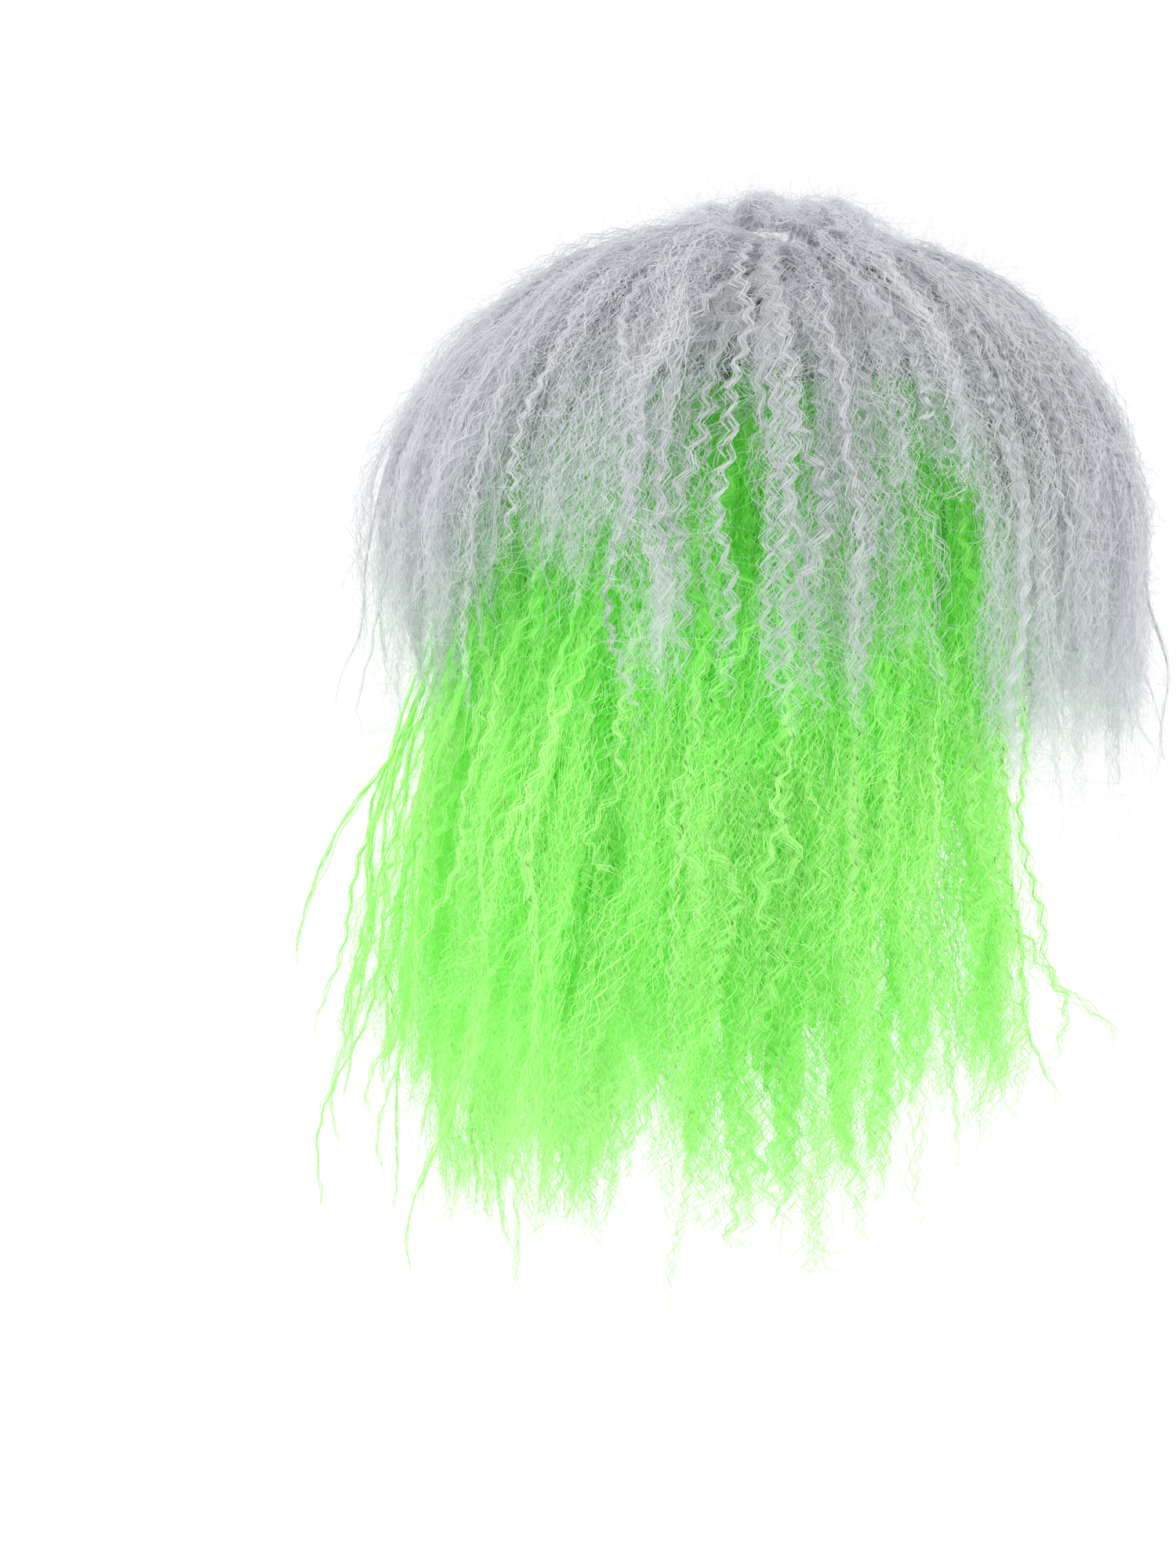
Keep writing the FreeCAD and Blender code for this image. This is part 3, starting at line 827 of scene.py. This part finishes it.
def wisps(colour, table, height, depths, gather, lift, rng):
    """Thin tight locks that curl and fly away from the rest, on both sides."""
    low, high = BACK_MIDDLE
    mirrored = [(MIRROR - 360 - row[0], *row[1:]) for row in table if not low < row[0] < high]
    rows = np.array([*table, *mirrored], float)
    count = len(rows)
    middle = np.radians(rows[:, 0] + rng.uniform(-2, 2, count))
    points, length = hang(
        middle, middle, rng.uniform(*height, count), np.full(count, depths[0]), np.full(count, depths[1]),
        rows[:, 1] * MM, gather=gather, rng=rng, lift=lift,
    )
    _, outward, sideways = frames(points)
    steps = points.shape[1]
    along = np.minimum(np.arange(steps)[None] / column(length), 1.0)
    leave = column(rows[:, 5])
    swing = smooth((along - leave) / (1 - leave))
    turn = along * rng.uniform(19, 27, (count, 1)) + rng.uniform(0, 6.3, (count, 1))
    loop = column(rows[:, 4]) * MM * swing
    out = column(rows[:, 2]) * MM * swing + loop * np.sin(turn)
    points = points + outward * out[..., None] + sideways * (loop * np.cos(turn))[..., None]
    points[..., 1] -= column(rows[:, 3]) * MM * swing * mix(1.0, 0.8, along)
    locks = lock_table(points, length, 1.0, rng)
    locks["girth"] = rng.uniform(0.6, 1.3, count) * MM
    locks["loose"] = np.full(count, 0.2)
    locks["amplitude"] = rng.uniform(1.2, 2.0, count) * MM
    style = GREEN_STYLE if colour == "green" else SILVER_STYLE
    dress(colour, locks, {**style, "strands": 9, "fuzz": 14}, rng)


GREEN_MATS = {
    ("green mat", "left"): ("left", "fringe"),
    ("green mat", "right"): ("right",),
    ("green mat", "back"): ("back",),
}


def build_hair():
    """All the hair, from the matting on the cap to the loose locks on top."""
    rng = np.random.default_rng(SEED)
    matting(
        {"crown": SECTIONS}, (0.28, 0.5), (0, 360), 150, (90 * MM, 104 * MM),
        lambda depth, azimuth: rng.uniform(59, 66, len(azimuth)) * MM, rng,
    )
    matting(
        GREEN_MATS, (0.1, 0.34), GREEN_SPAN, 190, (48 * MM, 60 * MM),
        lambda depth, azimuth: green_hem(depth, azimuth) + rng.uniform(58, 95, len(azimuth)) * MM, rng,
    )
    silver_covered = {**SILVER_STYLE, **COVERED}
    green_covered = {**GREEN_STYLE, **COVERED}
    silver_layer(230, (97 * MM, 104.9 * MM), (0.74, 1.0), 0.0, SILVER_STYLE, rng)
    silver_layer(150, (72 * MM, 92 * MM), (0.58, 0.9), 6 * MM, SILVER_STYLE, rng)
    silver_layer(100, (50 * MM, 70 * MM), (0.4, 0.66), 14 * MM, silver_covered, rng)
    silver_undercoat(100, rng)
    silver_singles(rng)
    wisps("silver", SILVER_WISPS, (96 * MM, 104 * MM), (0.92, 0.96), SILVER_GATHER, SILVER_LIFT, rng)
    low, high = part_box("silver_crown_tuft")
    rise = high.z - OUTER_SHAPE[2]
    middle = (low.x + high.x) / 2
    tuft(42, (middle, mix(low.y, high.y, 0.34)), rise * 0.85, 44 * MM, rng)
    tuft(34, (middle, mix(low.y, high.y, 0.74)), rise * 0.62, 36 * MM, rng)
    green_layer(220, GREEN_SPAN, (34 * MM, 58 * MM), ((0.32, 0.55), (0.62, 1.0)), 0.0, GREEN_STYLE, rng)
    green_layer(160, GREEN_SPAN, (-8 * MM, 20 * MM), ((0.12, 0.34), (0.3, 0.8)), 4 * MM, green_covered, rng)
    green_layer(
        60, (35.0, 145.0), (-56 * MM, -38 * MM), ((-0.05, 0.15), (0.1, 0.4)), -4 * MM, green_covered, rng,
    )
    for azimuths in ((-20.0, 42.0), (138.0, 200.0)):
        green_layer(40, azimuths, (6 * MM, 20 * MM), ((0.2, 0.4), (0.35, 0.7)), 6 * MM, green_covered, rng)
    wisps("green", GREEN_WISPS, (10 * MM, 50 * MM), (0.5, 0.95), (20 * MM, -120 * MM), 0.05, rng)
    for bundle in BUNDLES.values():
        bundle.flush()


build_hair()


# ---------------------------------------------------------------- what the hair stands for
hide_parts("silver_crown_hair")
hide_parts("silver_crown_tuft")
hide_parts("silver_fringe_hair")
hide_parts("silver_side_hair_left")
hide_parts("silver_side_hair_right")
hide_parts("silver_back_hair")
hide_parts("green_side_hair_left")
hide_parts("green_side_hair_right")
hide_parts("green_back_hair", "green_nape_hair")


# ---------------------------------------------------------------- the cap's fabrics and fittings
def net_pattern(tree, place):
    """Open mesh: threads round small cells."""
    cells = node(tree, "ShaderNodeTexVoronoi", Scale=520.0)
    cells.feature = "DISTANCE_TO_EDGE"
    tree.links.new(place, cells.inputs["Vector"])
    thread = node(tree, "ShaderNodeMapRange", From_Min=0.06, From_Max=0.2, To_Min=1.0, To_Max=0.0)
    tree.links.new(cells.outputs["Distance"], thread.inputs["Value"])
    return thread.outputs["Result"]


def woven_pattern(scale, direction, distortion):
    """Rows of threads: bands at a scale, straight for elastic and diagonal for twill."""
    def pattern(tree, place):
        bands = node(
            tree, "ShaderNodeTexWave", Scale=scale, Distortion=distortion, Detail=2.0, Detail_Scale=3.0,
        )
        bands.bands_direction = direction
        tree.links.new(place, bands.inputs["Vector"])
        return bands.outputs["Fac"]
    return pattern


def fine_grain(scale):
    """Even grain for moulded plastic and steel."""
    def pattern(tree, place):
        grain = node(tree, "ShaderNodeTexNoise", Scale=scale, Detail=4.0, Roughness=0.65)
        tree.links.new(place, grain.inputs["Vector"])
        return grain.outputs["Fac"]
    return pattern


def fitting_material(name, low_colour, high_colour, pattern, roughness, relief, sheen=0.0, metal=0.0):
    """A patterned material: low and high colour follow the pattern, which also raises the surface."""
    material, tree, shader = new_material(name)
    link = tree.links.new
    place = tree.nodes.new("ShaderNodeTexCoord").outputs["Object"]
    height = pattern(tree, place)
    cloud = node(tree, "ShaderNodeTexNoise", Scale=90.0, Detail=3.0)
    link(place, cloud.inputs["Vector"])
    worn = node(tree, "ShaderNodeMapRange", From_Min=0.3, From_Max=0.7, To_Min=0.86, To_Max=1.1)
    link(cloud.outputs["Fac"], worn.inputs["Value"])
    ramp = colour_ramp(tree, [(0.0, low_colour), (1.0, high_colour)])
    link(height, ramp.inputs["Fac"])
    link(scaled(tree, ramp.outputs["Color"], worn.outputs["Result"]), shader.inputs["Base Color"])
    bump = node(tree, "ShaderNodeBump", Strength=relief, Distance=0.3 * MM)
    link(height, bump.inputs["Height"])
    link(bump.outputs["Normal"], shader.inputs["Normal"])
    rough = node(tree, "ShaderNodeMapRange", To_Min=roughness - 0.08, To_Max=roughness + 0.08)
    link(cloud.outputs["Fac"], rough.inputs["Value"])
    link(rough.outputs["Result"], shader.inputs["Roughness"])
    shader.inputs["Sheen Weight"].default_value = sheen
    shader.inputs["Metallic"].default_value = metal
    return material


FITTINGS = {
    # The net's cells between the threads take its dark low colour: painted shade where the open holes would
    # be.
    "net_fabric": fitting_material(
        "net_mesh", (0.20, 0.20, 0.21), (0.52, 0.52, 0.54),
        net_pattern, 0.75, 0.9, sheen=0.2,
    ),
    "binding_tape": fitting_material(
        "binding_twill", (0.36, 0.36, 0.38), (0.62, 0.62, 0.64),
        woven_pattern(260.0, "DIAGONAL", 0.6), 0.8, 0.7, sheen=0.3,
    ),
    "elastic_tape": fitting_material(
        "ribbed_elastic", (0.42, 0.42, 0.43), (0.74, 0.74, 0.75),
        woven_pattern(330.0, "Z", 0.3), 0.7, 0.8, sheen=0.3,
    ),
    "loop_tape": fitting_material(
        "loop_braid", (0.40, 0.40, 0.41), (0.70, 0.70, 0.72),
        woven_pattern(420.0, "X", 0.8), 0.75, 0.7, sheen=0.2,
    ),
    "label_satin": fitting_material(
        "label_satin", (0.80, 0.80, 0.79), (0.92, 0.92, 0.91),
        woven_pattern(600.0, "X", 0.2), 0.35, 0.25, sheen=0.5,
    ),
    "hook_plastic": fitting_material(
        "moulded_hook", (0.50, 0.50, 0.51), (0.56, 0.56, 0.57),
        fine_grain(700.0), 0.35, 0.15,
    ),
    "stay_steel": fitting_material(
        "spring_steel", (0.52, 0.53, 0.54), (0.66, 0.67, 0.68),
        fine_grain(1100.0), 0.3, 0.1, metal=1.0,
    ),
    "silver_thread": fitting_material(
        "silver_weft_stitching", (0.44, 0.44, 0.45), (0.78, 0.78, 0.80),
        woven_pattern(380.0, "DIAGONAL", 1.2), 0.6, 0.9,
    ),
    "green_thread": fitting_material(
        "green_weft_stitching", (0.12, 0.55, 0.06), (0.34, 0.92, 0.20),
        woven_pattern(380.0, "DIAGONAL", 1.2), 0.6, 0.9,
    ),
}


def finish_fittings():
    """Gives each CAD node that stays in view the fabric, plastic or steel of its material slot."""
    for name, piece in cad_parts.items():
        material = FITTINGS.get(piece.data.materials[0].name)
        if material:
            piece.material_slots[0].link = "OBJECT"
            piece.material_slots[0].material = material


def first_hit(tree, start, direction):
    """Where a ray first meets a mesh, or None."""
    place, _, _, _ = tree.ray_cast(start, direction)
    return place


def band_rows(node_name, inset):
    """Two rows of points on the inside of a rim band, near its lower and upper edge."""
    tree = BVHTree.FromObject(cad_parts[node_name], bpy.context.evaluated_depsgraph_get())
    rows = [[], []]
    for azimuth in np.radians(np.arange(0, 360, 1.0)):
        hits = []
        for elevation in np.radians(np.arange(-60, 40, 0.6)):
            flat = math.cos(elevation)
            heading = Vector((math.cos(azimuth) * flat, math.sin(azimuth) * flat, math.sin(elevation)))
            place = first_hit(tree, Vector((0, 0, 0)), heading)
            if place:
                hits.append(place)
        if len(hits) > 1 and (hits[-1] - hits[0]).length > 3 * inset:
            across = (hits[-1] - hits[0]).normalized() * inset
            rows[0].append(hits[0] + across)
            rows[1].append(hits[-1] - across)
    return rows


def rib_rows(node_name, inset):
    """Two rows of points on the inside of a rib, near its edges."""
    tree = BVHTree.FromObject(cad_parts[node_name], bpy.context.evaluated_depsgraph_get())
    low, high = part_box(node_name)
    rows = []
    for x in (low.x + inset, high.x - inset):
        row = []
        for angle in np.radians(np.arange(-70, 250, 1.0)):
            place = first_hit(tree, Vector((x, 0, 0)), Vector((0, math.cos(angle), math.sin(angle))))
            if place:
                row.append(place)
        rows.append(row)
    return rows


def stitches(name, rows, pitch, material):
    """Short thread stitches along rows of points, each a small bowed tube that dips in at both ends."""
    lines = []
    for row in rows:
        points = np.array(row)
        gap = np.linalg.norm(np.diff(points, axis=0), axis=1)
        pieces = np.split(np.arange(len(points)), np.flatnonzero(gap > 8 * MM) + 1)
        for piece in pieces:
            if len(piece) < 3:
                continue
            run = points[piece]
            way = np.concatenate([[0], np.cumsum(np.linalg.norm(np.diff(run, axis=0), axis=1))])
            starts = np.arange(pitch / 2, way[-1] - pitch, pitch)
            t = np.linspace(0, 1, 6)
            place = starts[:, None] + t[None] * pitch * 0.72
            line = np.stack([np.interp(place, way, run[:, k]) for k in range(3)], -1)
            bow = np.sin(np.pi * t)[None, :, None] * 0.22 * MM - 0.05 * MM
            lines.append(line - unit(line) * bow)
    line = np.concatenate(lines)
    count, steps = line.shape[:2]
    radius = np.full((count, steps), 0.2 * MM)
    shade = np.linspace(0.1, 0.9, count)
    along = np.broadcast_to(np.linspace(0, 1, steps), (count, steps))
    piece = quad_mesh(name, *tube(line, radius, 1.0, np.zeros((count, steps)), shade, along, 6), material)
    on_cap(piece)


def sew_the_cap():
    """Stitching along the bindings and the ribs, seen from inside the cap."""
    material = FITTINGS["silver_thread"]
    for band in ("front_band", "nape_binding", "side_band_left", "side_band_right"):
        stitches(f"{band}_stitches", band_rows(band, 1.6 * MM), 3.0 * MM, material)
    for rib in ("rib_center", "rib_left", "rib_right"):
        stitches(f"{rib}_stitches", rib_rows(rib, 1.3 * MM), 3.4 * MM, material)


finish_fittings()
sew_the_cap()


# ---------------------------------------------------------------- stage, light and camera
VIEW_AZIMUTH = math.radians(250.0)
VIEW_ELEVATION = math.radians(4.0)
PICTURE_HEIGHT = 0.588
LENS = 85.0
SENSOR = 36.0
FRAME_SHIFT = (-0.0838, -0.0929)


def view_axes():
    """The direction towards the camera, and the picture's right and up."""
    back = Vector((
        math.sin(VIEW_AZIMUTH) * math.cos(VIEW_ELEVATION),
        -math.cos(VIEW_AZIMUTH) * math.cos(VIEW_ELEVATION),
        math.sin(VIEW_ELEVATION),
    ))
    right = Vector((0, 0, 1)).cross(back).normalized()
    return back, right, back.cross(right)


def make_camera():
    """Camera at the side of the head, a little behind it."""
    back, right, up = view_axes()
    target = right * FRAME_SHIFT[0] + up * FRAME_SHIFT[1]
    distance = PICTURE_HEIGHT / 2 / (SENSOR / 2 / LENS)
    data = bpy.data.cameras.new("camera")
    data.lens = LENS
    data.sensor_width = SENSOR
    camera = bpy.data.objects.new("camera", data)
    bpy.context.scene.collection.objects.link(camera)
    camera.location = target + back * distance
    camera.rotation_euler = (-back).to_track_quat("-Z", "Y").to_euler()
    bpy.context.scene.camera = camera


def area_light(name, azimuth, elevation, distance, size, power):
    """A soft square light that looks at the wig."""
    a, e = math.radians(azimuth), math.radians(elevation)
    away = Vector((math.sin(a) * math.cos(e), -math.cos(a) * math.cos(e), math.sin(e)))
    data = bpy.data.lights.new(name, "AREA")
    data.size = size
    data.energy = power
    lamp = bpy.data.objects.new(name, data)
    bpy.context.scene.collection.objects.link(lamp)
    lamp.location = away * distance
    lamp.rotation_euler = away.to_track_quat("Z", "Y").to_euler()


def make_stage():
    """White surroundings, a pale floor well below the wig, and soft lights."""
    world = bpy.data.worlds.new("white")
    world.use_nodes = True
    world.node_tree.nodes["Background"].inputs["Color"].default_value = (1, 1, 1, 1)
    world.node_tree.nodes["Background"].inputs["Strength"].default_value = 1.06
    bpy.context.scene.world = world
    material, _, shader = new_material("floor")
    shader.inputs["Base Color"].default_value = (0.96, 0.96, 0.96, 1)
    shader.inputs["Roughness"].default_value = 0.9
    half, z = 9.0, CAD_LOW.z - 0.3
    corners = [(-half, -half, z), (half, -half, z), (half, half, z), (-half, half, z)]
    mesh = bpy.data.meshes.new("floor")
    mesh.from_pydata(corners, [], [(0, 1, 2, 3)])
    mesh.materials.append(material)
    floor = bpy.data.objects.new("floor", mesh)
    bpy.context.scene.collection.objects.link(floor)
    area_light("key", 215, 50, 2.0, 1.4, 5)
    area_light("fill", 300, 20, 2.2, 1.6, 3)
    area_light("top", 100, 75, 2.0, 1.4, 3)
    bpy.context.scene.view_settings.view_transform = "Standard"
    bpy.context.scene.cycles.diffuse_bounces = 6


make_camera()
make_stage()
